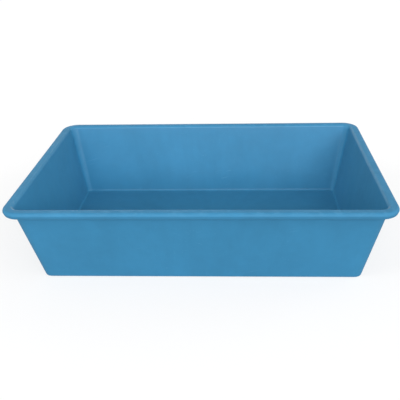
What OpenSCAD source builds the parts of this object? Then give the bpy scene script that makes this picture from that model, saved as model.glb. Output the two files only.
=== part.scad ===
// Mud pan: an open tub for mixing and carrying plaster or joint compound.
// It is one moulding, with leaning walls, a rim turned down into a lip, and a shallow foot ring.
// The origin is at the centre of the foot. X runs along the length, Y across the width, +Z up.
// All sizes are in millimetres.

/* [Tub] */
// Length over the rim
rim_l = 560; // [480:1:640]
// Width over the rim
rim_w = 370; // [300:1:420]
// Height from the foot to the top of the rim
tub_h = 129; // [90:1:160]
// How far each end wall leans out between the foot and the top
end_lean = 25.5; // [10:0.5:30]
// How far the front and back walls lean out between the foot and the top
side_lean = 26; // [10:0.5:30]
// Radius of the upright corners at the top, outside
corner_r = 16; // [14:0.5:24]
// Radius of the upright corners at the foot, outside
foot_corner_r = 12; // [10:0.5:16]

/* [Walls and floor] */
// Thickness of the walls
wall_t = 3.2; // [2.4:0.1:4.5]
// Thickness of the floor
floor_t = 3; // [2:0.1:4]
// Fillet between the floor and the walls, inside
floor_fillet_r = 3.5; // [2:0.5:5]
// Rounding of the bottom edge, outside
foot_edge_r = 2; // [1:0.5:4]

/* [Rim] */
// How far the rim stands out from the walls
rim_overhang = 12; // [8:0.5:16]
// Thickness of the flat top of the rim
rim_t = 3.2; // [2:0.1:4]
// Height of the lip, measured down from the top of the rim
lip_h = 9.5; // [7.5:0.5:12]
// Thickness of the lip
lip_t = 2.8; // [2.4:0.1:4]
// How far the lip leans in towards its lower edge
lip_lean = 1.2; // [0:0.1:1.5]
// Rounding between the top of the rim and the lip
rim_edge_r = 5; // [4:0.5:5]
// Rounding of the lower edge of the lip, outside
lip_edge_r = 1.4; // [0.4:0.1:2.4]
// Bevel round the mouth, at the inner edge of the rim
mouth_bevel = 3; // [0.5:0.5:3]

/* [Foot] */
// Width of the flat ring that the tub stands on
foot_ring_w = 16; // [10:1:30]
// Depth of the hollow inside the ring
foot_hollow = 1; // [0.5:0.1:2]
// Radius of the disc left by the moulding gate
gate_r = 4; // [2:0.5:6]
// Height of that disc
gate_h = 0.4; // [0.1:0.1:0.4]

/* [Hidden] */
// The walls at the top, and the foot, with their corners taken as sharp at the bottom edge
top_l = rim_l - 2 * rim_overhang;
top_w = rim_w - 2 * rim_overhang;
foot_l = top_l - 2 * end_lean;
foot_w = top_w - 2 * side_lean;
floor_z = foot_hollow + floor_t;
rim_r = corner_r + rim_overhang;
// The rim's top is drawn this far in from its edge, and the mouth then trims it
rim_reach = rim_overhang + wall_t + mouth_bevel + 1;
// Cuts run this far past the faces that they open
past = 1;
// Thickness of the discs that cap a hulled body
cap_t = 0.5;
corner_fn = 32;
rim_fn = 96;
arc_step = 15;

// Outer length, width and corner radius of the walls at height z
function wall_l(z) = foot_l + 2 * end_lean * z / tub_h;
function wall_w(z) = foot_w + 2 * side_lean * z / tub_h;
function wall_r(z) = foot_corner_r + (corner_r - foot_corner_r) * z / tub_h;

// Children at the four corner centres of a rounded rectangle
module at_corners(l, w, r) {
    for (x = [-1, 1], y = [-1, 1])
        translate([x * (l / 2 - r), y * (w / 2 - r), 0])
            children();
}

// A disc of radius r whose rim is rounded by edge_r, centred on z = 0
module round_edged_disc(r, edge_r) {
    rotate_extrude($fn = corner_fn)
        intersection() {
            translate([r - edge_r, 0])
                circle(edge_r, $fn = corner_fn);
            translate([0, -edge_r])
                square([r, 2 * edge_r]);
        }
}

// A solid that follows the walls, inset from their outside, with its bottom edge rounded by edge_r
module leaning_body(inset, low_z, high_z, edge_r) {
    edge_z = low_z + edge_r;
    low_r = wall_r(edge_z) - inset;
    high_r = wall_r(high_z) - inset;
    hull() {
        at_corners(wall_l(edge_z) - 2 * inset, wall_w(edge_z) - 2 * inset, low_r)
            translate([0, 0, edge_z])
                round_edged_disc(low_r, edge_r);
        at_corners(wall_l(high_z) - 2 * inset, wall_w(high_z) - 2 * inset, high_r)
            translate([0, 0, high_z - cap_t])
                cylinder(r = high_r, h = cap_t, $fn = corner_fn);
    }
}

// Section of the rim: x runs outwards from the centre of a corner, y is the height
module rim_section() {
    round_x = rim_r - rim_edge_r;
    round_y = tub_h - rim_edge_r;
    lip_x = rim_r - lip_lean;
    lip_y = tub_h - lip_h + lip_edge_r;
    outside = [for (a = [90:-arc_step:0])
        [round_x + rim_edge_r * cos(a), round_y + rim_edge_r * sin(a)]];
    lower_edge = [for (a = [0:-arc_step:-90])
        [lip_x - lip_edge_r * (1 - cos(a)), lip_y + lip_edge_r * sin(a)]];
    underside = [for (a = [0:arc_step:90])
        [round_x + (rim_edge_r - lip_t) * cos(a), round_y + (rim_edge_r - rim_t) * sin(a)]];
    polygon(concat(
        [[rim_r - rim_reach, tub_h]],
        outside,
        lower_edge,
        [[lip_x - lip_t, tub_h - lip_h]],
        underside,
        [[rim_r - rim_reach, tub_h - rim_t]]
    ));
}

// The flat rim and its lip: each turn draws one side and the corner at its end
module rim() {
    for (side = [0:3]) {
        along_length = side % 2 == 0;
        run = (along_length ? rim_l : rim_w) - 2 * rim_r;
        out = (along_length ? rim_w : rim_l) / 2 - rim_r;
        rotate([0, 0, 90 * side]) {
            rotate([90, 0, 90])
                linear_extrude(run, center = true)
                    translate([out, 0])
                        rim_section();
            translate([run / 2, out, 0])
                rotate_extrude(angle = 90, $fn = rim_fn)
                    rim_section();
        }
    }
}

// The space that holds the mud
module cavity() {
    leaning_body(wall_t, floor_z, tub_h + past, floor_fillet_r);
}

// A bevel that opens the mouth out into the top of the rim
module mouth_cut() {
    low_z = tub_h - mouth_bevel;
    high_z = tub_h + past;
    r = corner_r - wall_t;
    hull() {
        at_corners(wall_l(low_z) - 2 * wall_t, wall_w(low_z) - 2 * wall_t, r)
            translate([0, 0, low_z - cap_t])
                cylinder(r = r - cap_t, h = cap_t, $fn = corner_fn);
        at_corners(wall_l(high_z) - 2 * wall_t, wall_w(high_z) - 2 * wall_t, r)
            translate([0, 0, high_z])
                cylinder(r = r + mouth_bevel + past, h = cap_t, $fn = corner_fn);
    }
}

// The shallow hollow inside the foot ring
module foot_cut() {
    inset = foot_edge_r + foot_ring_w;
    translate([0, 0, -past])
        hull()
            at_corners(foot_l - 2 * inset, foot_w - 2 * inset, foot_corner_r)
                cylinder(r = foot_corner_r, h = foot_hollow + past, $fn = corner_fn);
}

// The disc that the moulding gate leaves under the floor
module gate_mark() {
    translate([0, 0, foot_hollow - gate_h])
        cylinder(r = gate_r, h = gate_h + floor_t / 2, $fn = corner_fn);
}

module tub() {
    color([0.26, 0.53, 0.70])
        union() {
            difference() {
                union() {
                    leaning_body(0, 0, tub_h - rim_t / 2, foot_edge_r);
                    rim();
                }
                cavity();
                mouth_cut();
                foot_cut();
            }
            gate_mark();
        }
}

tub();
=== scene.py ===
"""Looks of the mud pan: one moulded plastic tub, its material, a pale floor, soft light and the camera.

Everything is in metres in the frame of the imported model: the origin is at the centre of the foot, X runs
along the length, Y across the width and Z up.
"""

import math

import bmesh
import bpy
from mathutils import Euler, Matrix, Vector


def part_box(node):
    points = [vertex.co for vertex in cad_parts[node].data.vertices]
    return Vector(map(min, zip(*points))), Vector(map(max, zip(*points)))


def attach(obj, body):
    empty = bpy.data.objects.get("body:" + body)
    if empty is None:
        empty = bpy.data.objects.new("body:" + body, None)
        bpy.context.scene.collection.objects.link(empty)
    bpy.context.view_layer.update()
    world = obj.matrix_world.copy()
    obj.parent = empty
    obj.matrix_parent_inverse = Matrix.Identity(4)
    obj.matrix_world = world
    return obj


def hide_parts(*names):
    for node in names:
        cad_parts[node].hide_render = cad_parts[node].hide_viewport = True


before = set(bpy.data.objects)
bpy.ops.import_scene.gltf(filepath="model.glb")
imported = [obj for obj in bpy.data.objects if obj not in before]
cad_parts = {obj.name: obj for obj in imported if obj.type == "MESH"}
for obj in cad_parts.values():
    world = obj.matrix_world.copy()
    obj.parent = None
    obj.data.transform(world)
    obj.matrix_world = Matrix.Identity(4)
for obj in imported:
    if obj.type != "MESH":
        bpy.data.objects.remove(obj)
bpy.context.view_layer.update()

# ---- The tub's sizes -------------------------------------------------------------------------

TUB_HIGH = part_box("tub")[1]
RIM_HALF = Vector((TUB_HIGH.x, TUB_HIGH.y))
HEIGHT = TUB_HIGH.z

RIM_OVERHANG = 0.012
END_LEAN = 0.0255
SIDE_LEAN = 0.026
LEAN = Vector((END_LEAN, SIDE_LEAN))
TOP_HALF = RIM_HALF - Vector((RIM_OVERHANG, RIM_OVERHANG))
FOOT_HALF = TOP_HALF - LEAN

TOP_CORNER_R = 0.016
FOOT_CORNER_R = 0.012
WALL_T = 0.0032
FLOOR_T = 0.003
FLOOR_FILLET_R = 0.0035
FOOT_EDGE_R = 0.002
FOOT_RING_W = 0.016
FOOT_HOLLOW = 0.001
FLOOR_Z = FOOT_HOLLOW + FLOOR_T

RIM_T = 0.0032
RIM_EDGE_R = 0.005
LIP_H = 0.0095
LIP_T = 0.0028
LIP_LEAN = 0.0012
LIP_EDGE_R = 0.0014
LIP_INNER_EDGE_R = 0.0004
MOUTH_R = 0.004
CHANNEL_FILLET_R = 0.001

GATE_R = 0.004
GATE_H = 0.0004
GATE_BEVEL_W = 0.00016
GATE_BEVEL_H = 0.00008

# The walls of such a moulding draw in a little between the corners as it cools.
SIDE_BOW = 0.0005
END_BOW = 0.0003

# ---- How finely the tub is divided -----------------------------------------------------------

CORNER_STEPS = 14
SIDE_STEPS = 44
END_STEPS = 30
ROUND_STEPS = 6
RIM_EDGE_STEPS = 12
FILLET_STEPS = 8
WALL_STEPS = 12
FOOT_RING_STEPS = 3
FLOOR_RINGS = 10


def wall_half(z):
    """Half length and half width of the outside of the walls at height z."""
    return FOOT_HALF + LEAN * (z / HEIGHT)


def corner_radius(z):
    """Radius of the upright corners on the outside of the walls at height z."""
    return FOOT_CORNER_R + (TOP_CORNER_R - FOOT_CORNER_R) * (z / HEIGHT)


def ring(half, radius, z):
    """Points round a rounded rectangle at height z, counter-clockwise from above."""
    centre = half - Vector((radius, radius))
    points = []
    for quarter, (sx, sy) in enumerate(((1, 1), (-1, 1), (-1, -1), (1, -1))):
        corner = Vector((sx * centre.x, sy * centre.y))
        for step in range(CORNER_STEPS + 1):
            angle = math.radians(90 * (quarter + step / CORNER_STEPS))
            points.append(corner + radius * Vector((math.cos(angle), math.sin(angle))))
        # The straight that follows this corner: a side after corners 0 and 2, an end after 1 and 3.
        if quarter % 2 == 0:
            steps, along = SIDE_STEPS, Vector((-2 * centre.x * sx, 0))
        else:
            steps, along = END_STEPS, Vector((0, -2 * centre.y * sy))
        start = points[-1]
        points += [start + along * (step / steps) for step in range(1, steps)]
    return [bowed(p, half, z) for p in points]


def bowed(point, half, z):
    """The point drawn inwards between the corners, more towards the top of the walls."""
    rise = z / HEIGHT
    x_share = 1 - (point.x / half.x) ** 2
    y_share = 1 - (point.y / half.y) ** 2
    x = point.x - math.copysign(END_BOW, point.x) * rise * y_share * (point.x / half.x) ** 2
    y = point.y - math.copysign(SIDE_BOW, point.y) * rise * x_share * (point.y / half.y) ** 2
    return Vector((x, y, z))


def wall_ring(z, out=0.0, at=None):
    """A ring at height z, `out` beyond the wall's outside at height `at`, which is z unless given."""
    level = z if at is None else at
    return ring(wall_half(level) + Vector((out, out)), corner_radius(level) + out, z)


def arc(steps, start, end, skip=0):
    """Sines and cosines of evenly spaced angles in degrees, ends included, without the first `skip`."""
    for step in range(skip, steps + 1):
        angle = math.radians(start + (end - start) * step / steps)
        yield math.sin(angle), math.cos(angle)


def blend_rings(first, last, count):
    """The rings between two rings, neither of them included."""
    for step in range(1, count):
        share = step / count
        yield [a.lerp(b, share) for a, b in zip(first, last)]


def circle_like(outline, radius, z):
    """A circle whose points lie in the directions of an outline's points."""
    return [Vector((p.x, p.y, 0)).normalized() * radius + Vector((0, 0, z)) for p in outline]


def hollow_ring(z, out):
    """A ring that stands out by `out` from the edge of the hollow under the floor."""
    inset = FOOT_EDGE_R + FOOT_RING_W - out
    return ring(FOOT_HALF - Vector((inset, inset)), FOOT_CORNER_R + out, z)


def foot_rings():
    """From the gate mark under the floor out to the bottom edge, and round that edge."""
    r = FOOT_HOLLOW / 2
    hollow_edge = hollow_ring(FOOT_HOLLOW, -r)
    gate_low = FOOT_HOLLOW - GATE_H
    rings = [
        circle_like(hollow_edge, GATE_R - GATE_BEVEL_W, gate_low),
        circle_like(hollow_edge, GATE_R, gate_low + GATE_BEVEL_H),
        circle_like(hollow_edge, GATE_R, FOOT_HOLLOW),
        circle_like(hollow_edge, GATE_R + GATE_H, FOOT_HOLLOW),
    ]
    rings += blend_rings(rings[-1], hollow_edge, FLOOR_RINGS)
    for s, c in arc(ROUND_STEPS, 0, 90):
        rings.append(hollow_ring(FOOT_HOLLOW - r * (1 - c), -r * (1 - s)))
    for s, c in arc(ROUND_STEPS, 90, 0, skip=1):
        rings.append(hollow_ring(r * (1 - c), r * (1 - s)))
    rings += blend_rings(rings[-1], wall_ring(0, -FOOT_EDGE_R), FOOT_RING_STEPS)
    for s, c in arc(ROUND_STEPS, 0, 90):
        rings.append(wall_ring(FOOT_EDGE_R * (1 - c), FOOT_EDGE_R * (s - 1)))
    return rings


def outer_wall_rings():
    """Up the outside of the walls and out along the channel under the rim."""
    channel_z = HEIGHT - RIM_T
    r = CHANNEL_FILLET_R
    rings = []
    for step in range(1, WALL_STEPS + 1):
        rings.append(wall_ring(FOOT_EDGE_R + (channel_z - r - FOOT_EDGE_R) * step / WALL_STEPS))
    for s, c in arc(ROUND_STEPS, 0, 90, skip=1):
        rings.append(wall_ring(channel_z - r * (1 - s), r * (1 - c)))
    for s, c in arc(ROUND_STEPS, 0, 90):
        out = RIM_OVERHANG - RIM_EDGE_R + (RIM_EDGE_R - LIP_T) * s
        rings.append(wall_ring(HEIGHT - RIM_EDGE_R + (RIM_EDGE_R - RIM_T) * c, out, HEIGHT))
    return rings


def lip_rings():
    """Down the inside of the lip, round its lower edge, up its outside and over the rim."""
    low = HEIGHT - LIP_H
    lip_out = RIM_OVERHANG - LIP_LEAN
    rings = []
    r = LIP_INNER_EDGE_R
    for s, c in arc(ROUND_STEPS, 0, 90):
        rings.append(wall_ring(low + r * (1 - s), lip_out - LIP_T + r * (1 - c), HEIGHT))
    r = LIP_EDGE_R
    for s, c in arc(ROUND_STEPS, 0, 90):
        rings.append(wall_ring(low + r * (1 - c), lip_out - r * (1 - s), HEIGHT))
    r = RIM_EDGE_R
    for s, c in arc(RIM_EDGE_STEPS, 90, 0):
        rings.append(wall_ring(HEIGHT - r * (1 - c), RIM_OVERHANG - r * (1 - s), HEIGHT))
    return rings


def inner_wall_rings():
    """Round the mouth, down the inside of the walls and over the fillet to the floor's edge."""
    rings = []
    for s, c in arc(ROUND_STEPS, 0, 90):
        rings.append(wall_ring(HEIGHT - MOUTH_R * (1 - c), -WALL_T + MOUTH_R * (1 - s)))
    fillet_z = FLOOR_Z + FLOOR_FILLET_R
    top_z = HEIGHT - MOUTH_R
    for step in range(1, WALL_STEPS):
        rings.append(wall_ring(top_z + (fillet_z - top_z) * step / WALL_STEPS, -WALL_T))
    for s, c in arc(FILLET_STEPS, 0, 90):
        rings.append(wall_ring(fillet_z - FLOOR_FILLET_R * s, -WALL_T - FLOOR_FILLET_R * (1 - c)))
    return rings


def floor_rings(floor_edge):
    """From the floor's edge in to a small circle at its centre."""
    middle = circle_like(floor_edge, GATE_R, FLOOR_Z)
    return list(blend_rings(floor_edge, middle, FLOOR_RINGS)) + [middle]


def lofted_mesh(name, rings):
    """A closed mesh through the rings, in order, with a fan of triangles over each end."""
    bm = bmesh.new()
    rows = [[bm.verts.new(p) for p in points] for points in rings]
    count = len(rows[0])
    for low, high in zip(rows, rows[1:]):
        for i in range(count):
            j = (i + 1) % count
            bm.faces.new((low[i], low[j], high[j], high[i]))
    for row, order in ((rows[0], -1), (rows[-1], 1)):
        centre = bm.verts.new(sum((v.co for v in row), Vector()) / count)
        for i in range(count):
            bm.faces.new((centre, row[i], row[(i + 1) % count])[::order])
    for face in bm.faces:
        face.smooth = True
    mesh = bpy.data.meshes.new(name)
    bm.to_mesh(mesh)
    bm.free()
    return mesh


def make_tub():
    """The tub as one closed mesh, from the gate mark under its floor round to the floor's middle."""
    rings = foot_rings() + outer_wall_rings() + lip_rings() + inner_wall_rings()
    rings += floor_rings(rings[-1])
    tub = bpy.data.objects.new("moulded_tub", lofted_mesh("moulded_tub", rings))
    bpy.context.scene.collection.objects.link(tub)
    # Wide flat faces keep their own normals, so only the rounded edges shade as round.
    normals = tub.modifiers.new("flat_faces_stay_flat", "WEIGHTED_NORMAL")
    normals.weight = 100
    return tub


# ---- Materials -------------------------------------------------------------------------------

PLASTIC_BLUE = (0.0285, 0.184, 0.340, 1)
# The same plastic where it has been rubbed or scratched: paler and a little greyer
RUBBED_BLUE = (0.070, 0.255, 0.430, 1)
SPECULAR = 0.3
SHEEN = 0.026
ROUGH_OUTSIDE = 0.66
ROUGH_INSIDE = 0.42
ROUGH_SHARE = 0.2
ROUGH_WORN = 0.12

# Each noise: its patches to the metre, its layers of detail and its seed
CLOUDS = (6, 3, 1)
MOTTLE = (70, 3, 2)
GLOSS = (25, 4, 5)
WAVES = (38, 2, 6)
GRAIN = (900, 1, 7)
WEAR = (120, 4, 31)
# The streaks of flow spread out from the gate, so theirs are patches to the radian. They fade in from
# this far out.
STREAKS = (9, 4, 4)
STREAKS_START = 0.03
# Noise rarely leaves this range.
NOISE_LOW, NOISE_HIGH = 0.25, 0.75

# The tone varies by these shares of the colour.
CLOUD_SHARE = 0.10
MOTTLE_SHARE = 0.05
STREAK_SHARE = 0.07

# Fine scratches: noise with long thin patches, in one family for each rotation in radians. A scratch
# shows where that noise climbs through SCRATCH_LINE and a broader noise climbs through SCRATCH_PATCH.
# These are the seeds of the first family, and each later one takes the next.
SCRATCH_STRETCH = (9, 420, 420)
SCRATCH_TURNS = ((0, 0, 0.6), (0, 0, -1.1), (1.45, 0, 0.25), (1.35, 0.5, 1.5))
SCRATCH_LINE = (0.66, 0.74)
SCRATCH_PATCH = (0.55, 0.68)
SCRATCH_PATCHES = 16
SCRATCH_SEED, SCRATCH_PATCH_SEED = 10, 20
SCRATCH_STRENGTH = 0.45

# Rubbing: how far it reaches up from the foot and down from the top of the rim, how strong it is, and the
# range through which the WEAR noise lets it in
FOOT_RUB_H = 0.003
RIM_RUB_H = 0.004
RIM_RUB = 0.35
FOOT_RING_RUB = 0.3
RUB_PATCH = (0.45, 0.7)

# The Z of a face's normal, where the underside turns into the foot's edge, and where an inner wall turns
# into the floor
FOOT_EDGE_UP = (-0.95, -0.6)
FLOOR_UP = (0.3, 0.6)
# The product of a face's level place and its normal, in metres: below 0 on faces that look inwards
INNER_OUT = (-0.06, 0)

GRAIN_DEPTH = 0.00003
WAVE_DEPTH = 0.00025


def node(tree, kind, inputs, **settings):
    """A new shader node. `inputs` sets inputs to values, or links them to other nodes' outputs."""
    made = tree.nodes.new("ShaderNode" + kind)
    for name, value in settings.items():
        setattr(made, name, value)
    for name, value in inputs.items():
        if isinstance(value, bpy.types.NodeSocket):
            tree.links.new(value, made.inputs[name])
        else:
            made.inputs[name].default_value = value
    return made


def noise(tree, where, kind):
    """Noise over `where`. `kind` is its patches to the unit, its layers of detail and its seed."""
    scale, detail, seed = kind
    inputs = {"Vector": where, "W": seed, "Scale": scale, "Detail": detail}
    return node(tree, "TexNoise", inputs, noise_dimensions="4D").outputs["Fac"]


def remap(tree, value, low, high, to_low, to_high):
    """The value carried smoothly from the range low..high to to_low..to_high, and held outside it."""
    inputs = {"Value": value, "From Min": low, "From Max": high, "To Min": to_low, "To Max": to_high}
    return node(tree, "MapRange", inputs, interpolation_type="SMOOTHSTEP").outputs["Result"]


def maths(tree, operation, a, b):
    """One operation on two numbers."""
    return node(tree, "Math", {0: a, 1: b}, operation=operation).outputs["Value"]


def vector_maths(tree, operation, *inputs, output="Vector"):
    """One operation on vectors. `output` is "Value" where it gives a number."""
    return node(tree, "VectorMath", dict(enumerate(inputs)), operation=operation).outputs[output]


def z_of(tree, vector):
    """The Z of a vector."""
    return node(tree, "SeparateXYZ", {"Vector": vector}).outputs["Z"]


def flattened(tree, where):
    """The place with its height taken away."""
    return vector_maths(tree, "MULTIPLY", where, (1, 1, 0))


def face_normal(tree):
    """The direction that the surface faces."""
    return node(tree, "NewGeometry", {}).outputs["Normal"]


def vary(tree, value, share):
    """Noise turned into a factor that lies within half of `share` on either side of 1."""
    return remap(tree, value, NOISE_LOW, NOISE_HIGH, 1 - share / 2, 1 + share / 2)


def flow_streaks(tree, where):
    """Noise that is the same along each line out from the gate, and fades out at the gate."""
    flat = flattened(tree, where)
    reach = vector_maths(tree, "LENGTH", flat, output="Value")
    direction = vector_maths(tree, "NORMALIZE", flat)
    along = node(tree, "CombineXYZ", {"Z": maths(tree, "ADD", reach, z_of(tree, where))}).outputs["Vector"]
    streaks = noise(tree, vector_maths(tree, "ADD", direction, along), STREAKS)
    fade = remap(tree, reach, STREAKS_START, 3 * STREAKS_START, 0, 1)
    # A Mix node's numbers are its inputs 2 and 3 and its output 0.
    return node(tree, "Mix", {0: fade, 2: 0.5, 3: streaks}).outputs[0]


def scratches(tree, where):
    """Sparse fine scratches, from 0 to 1."""
    total = 0
    for index, turn in enumerate(SCRATCH_TURNS):
        turned = node(tree, "Mapping", {"Vector": where, "Rotation": turn}).outputs["Vector"]
        drawn_out = vector_maths(tree, "MULTIPLY", turned, SCRATCH_STRETCH)
        lines = noise(tree, drawn_out, (1, 1, SCRATCH_SEED + index))
        patches = noise(tree, where, (SCRATCH_PATCHES, 2, SCRATCH_PATCH_SEED + index))
        family = maths(
            tree,
            "MULTIPLY",
            remap(tree, lines, *SCRATCH_LINE, 0, 1),
            remap(tree, patches, *SCRATCH_PATCH, 0, 1),
        )
        total = maths(tree, "MAXIMUM", family, total)
    return total


def rubbing(tree, where):
    """From 0 to 1, where the tub is handled and set down: the edge and ring of its foot, and its rim."""
    height = z_of(tree, where)
    off_underside = remap(tree, z_of(tree, face_normal(tree)), *FOOT_EDGE_UP, 0, 1)
    foot_edge = maths(tree, "MULTIPLY", remap(tree, height, FOOT_RUB_H / 3, FOOT_RUB_H, 1, 0), off_underside)
    foot_ring = remap(tree, height, FOOT_HOLLOW / 4, FOOT_HOLLOW / 2, FOOT_RING_RUB, 0)
    rim = remap(tree, height, HEIGHT - RIM_RUB_H, HEIGHT, 0, RIM_RUB)
    rubbed = maths(tree, "MAXIMUM", maths(tree, "MAXIMUM", foot_edge, foot_ring), rim)
    return maths(tree, "MULTIPLY", rubbed, remap(tree, noise(tree, where, WEAR), *RUB_PATCH, 0, 1))


def inside(tree, where):
    """1 on the faces that look in towards the middle of the tub, and on its floor."""
    normal = face_normal(tree)
    outwards = vector_maths(tree, "DOT_PRODUCT", flattened(tree, where), normal, output="Value")
    wall = remap(tree, outwards, *INNER_OUT, 1, 0)
    facing_up = remap(tree, z_of(tree, normal), *FLOOR_UP, 0, 1)
    low_down = maths(tree, "LESS_THAN", z_of(tree, where), HEIGHT / 2)
    return maths(tree, "MAXIMUM", wall, maths(tree, "MULTIPLY", facing_up, low_down))


def plastic():
    """Moulded plastic: clouded and streaked by its flow, finely grained, a little scratched and rubbed."""
    material = bpy.data.materials.new("tub_plastic")
    material.use_nodes = True
    tree = material.node_tree
    shader = tree.nodes["Principled BSDF"]
    where = node(tree, "TexCoord", {}).outputs["Object"]

    clouds = vary(tree, noise(tree, where, CLOUDS), CLOUD_SHARE)
    mottle = vary(tree, noise(tree, where, MOTTLE), MOTTLE_SHARE)
    streaks = vary(tree, flow_streaks(tree, where), STREAK_SHARE)
    tone = maths(tree, "MULTIPLY", maths(tree, "MULTIPLY", clouds, mottle), streaks)
    dyed = node(tree, "HueSaturation", {"Color": PLASTIC_BLUE, "Value": tone}).outputs["Color"]

    scratched = maths(tree, "MULTIPLY", scratches(tree, where), SCRATCH_STRENGTH)
    worn = maths(tree, "MAXIMUM", scratched, rubbing(tree, where))
    # A Mix node's colours are its inputs 6 and 7 and its output 2.
    colour = node(tree, "Mix", {0: worn, 6: dyed, 7: RUBBED_BLUE}, data_type="RGBA").outputs[2]
    tree.links.new(colour, shader.inputs["Base Color"])

    finish = remap(tree, inside(tree, where), 0, 1, ROUGH_OUTSIDE, ROUGH_INSIDE)
    finish = maths(tree, "MULTIPLY", finish, vary(tree, noise(tree, where, GLOSS), ROUGH_SHARE))
    finish = maths(tree, "ADD", finish, maths(tree, "MULTIPLY", worn, ROUGH_WORN))
    tree.links.new(finish, shader.inputs["Roughness"])
    shader.inputs["Specular IOR Level"].default_value = SPECULAR
    shader.inputs["Sheen Weight"].default_value = SHEEN

    inputs = {"Height": noise(tree, where, WAVES), "Distance": WAVE_DEPTH}
    waves = node(tree, "Bump", inputs).outputs["Normal"]
    inputs = {"Height": noise(tree, where, GRAIN), "Distance": GRAIN_DEPTH, "Normal": waves}
    tree.links.new(node(tree, "Bump", inputs).outputs["Normal"], shader.inputs["Normal"])
    return material


# ---- Stage -----------------------------------------------------------------------------------

FLOOR_HALF = 20.0
FLOOR_WHITE = 0.9
FLOOR_BOUNCE = 0.45
FLOOR_GLOW = 0.65


def grey(value):
    """The colour that is `value` in red, green and blue."""
    return (value, value, value, 1)


def by_ray(tree, bounced, seen):
    """The shader `seen` where the camera looks straight at it, and `bounced` for all other light."""
    camera_ray = node(tree, "LightPath", {}).outputs["Is Camera Ray"]
    return node(tree, "MixShader", {0: camera_ray, 1: bounced, 2: seen}).outputs["Shader"]


def floor_paint():
    """A white floor, lit up as an overexposed studio sweep is, that bounces less light at the tub."""
    material = bpy.data.materials.new("floor_paint")
    material.use_nodes = True
    tree = material.node_tree
    tree.nodes.remove(tree.nodes["Principled BSDF"])
    bounced = node(tree, "BsdfDiffuse", {"Color": grey(FLOOR_BOUNCE)}).outputs["BSDF"]
    paint = node(tree, "BsdfDiffuse", {"Color": grey(FLOOR_WHITE)}).outputs["BSDF"]
    glow = node(tree, "Emission", {"Strength": 1}).outputs["Emission"]
    seen = node(tree, "MixShader", {0: FLOOR_GLOW, 1: paint, 2: glow}).outputs["Shader"]
    tree.links.new(by_ray(tree, bounced, seen), tree.nodes["Material Output"].inputs["Surface"])
    return material


def make_floor():
    """The floor that the tub stands on, which isn't part of it."""
    mesh = bpy.data.meshes.new("studio_floor")
    corners = [(x * FLOOR_HALF, y * FLOOR_HALF, 0) for x, y in ((-1, -1), (1, -1), (1, 1), (-1, 1))]
    mesh.from_pydata(corners, [], [(0, 1, 2, 3)])
    floor = bpy.data.objects.new("studio_floor", mesh)
    bpy.context.scene.collection.objects.link(floor)
    floor.data.materials.append(floor_paint())


# Soft lamps, all of one angular size in degrees. Each has a name, the azimuth in degrees that it shines
# from (0 is the front, 90 the right), its elevation in degrees and its strength.
LAMP_SIZE = 25
LAMPS = (
    ("left", -70, 24, 0.81),
    ("front", -10, 24, 1.09),
    ("front_right", 15, 24, 1.48),
    ("front_right_side", 40, 24, 0.44),
    ("right", 75, 24, 0.56),
    ("right_rear", 115, 24, 0.36),
    ("low_back", -165, 5, 0.25),
)
AMBIENT = 0.55
BACKDROP = 1.0


def make_lamps():
    """The lamps, as suns: their light is the same wherever the tub stands."""
    for name, azimuth, elevation, strength in LAMPS:
        light = bpy.data.lights.new(name, "SUN")
        light.energy = strength
        light.angle = math.radians(LAMP_SIZE)
        lamp = bpy.data.objects.new(name, light)
        lamp.rotation_euler = Euler((math.radians(90 - elevation), 0, math.radians(azimuth)))
        bpy.context.scene.collection.objects.link(lamp)


def make_world():
    """A white surround: the backdrop that the camera sees, and a weaker light from all sides."""
    world = bpy.data.worlds.new("studio")
    world.use_nodes = True
    bpy.context.scene.world = world
    tree = world.node_tree
    tree.nodes.remove(tree.nodes["Background"])
    ambient, backdrop = (
        node(tree, "Background", {"Color": grey(1), "Strength": strength}).outputs["Background"]
        for strength in (AMBIENT, BACKDROP)
    )
    tree.links.new(by_ray(tree, ambient, backdrop), tree.nodes["World Output"].inputs["Surface"])


# ---- Camera ----------------------------------------------------------------------------------

CAMERA_AT = Vector((0.0577, -0.8872, 0.5088))
# Angles in degrees, the lens and its sensor in millimetres
CAMERA_PITCH = 26.98
CAMERA_YAW = -2.9
CAMERA_ROLL = -1.43
CAMERA_LENS = 52.7
CAMERA_SENSOR = 36
CAMERA_SHIFT = -0.032


def make_camera():
    """The camera, which looks down at the tub from the front, a little to the right."""
    pitch, yaw, roll = (math.radians(a) for a in (CAMERA_PITCH, CAMERA_YAW, CAMERA_ROLL))
    data = bpy.data.cameras.new("camera")
    data.lens = CAMERA_LENS
    data.sensor_width = CAMERA_SENSOR
    data.shift_x = CAMERA_SHIFT
    camera = bpy.data.objects.new("camera", data)
    aim = Euler((math.pi / 2 - pitch, 0, -yaw)).to_matrix() @ Matrix.Rotation(roll, 3, "Z")
    camera.matrix_world = Matrix.Translation(CAMERA_AT) @ aim.to_4x4()
    bpy.context.scene.collection.objects.link(camera)
    bpy.context.scene.camera = camera


make_camera()
make_floor()
make_lamps()
make_world()

tub_piece = make_tub()
tub_piece.data.materials.append(plastic())
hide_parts("tub")
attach(tub_piece, "root")

bpy.context.scene.view_settings.view_transform = "Standard"
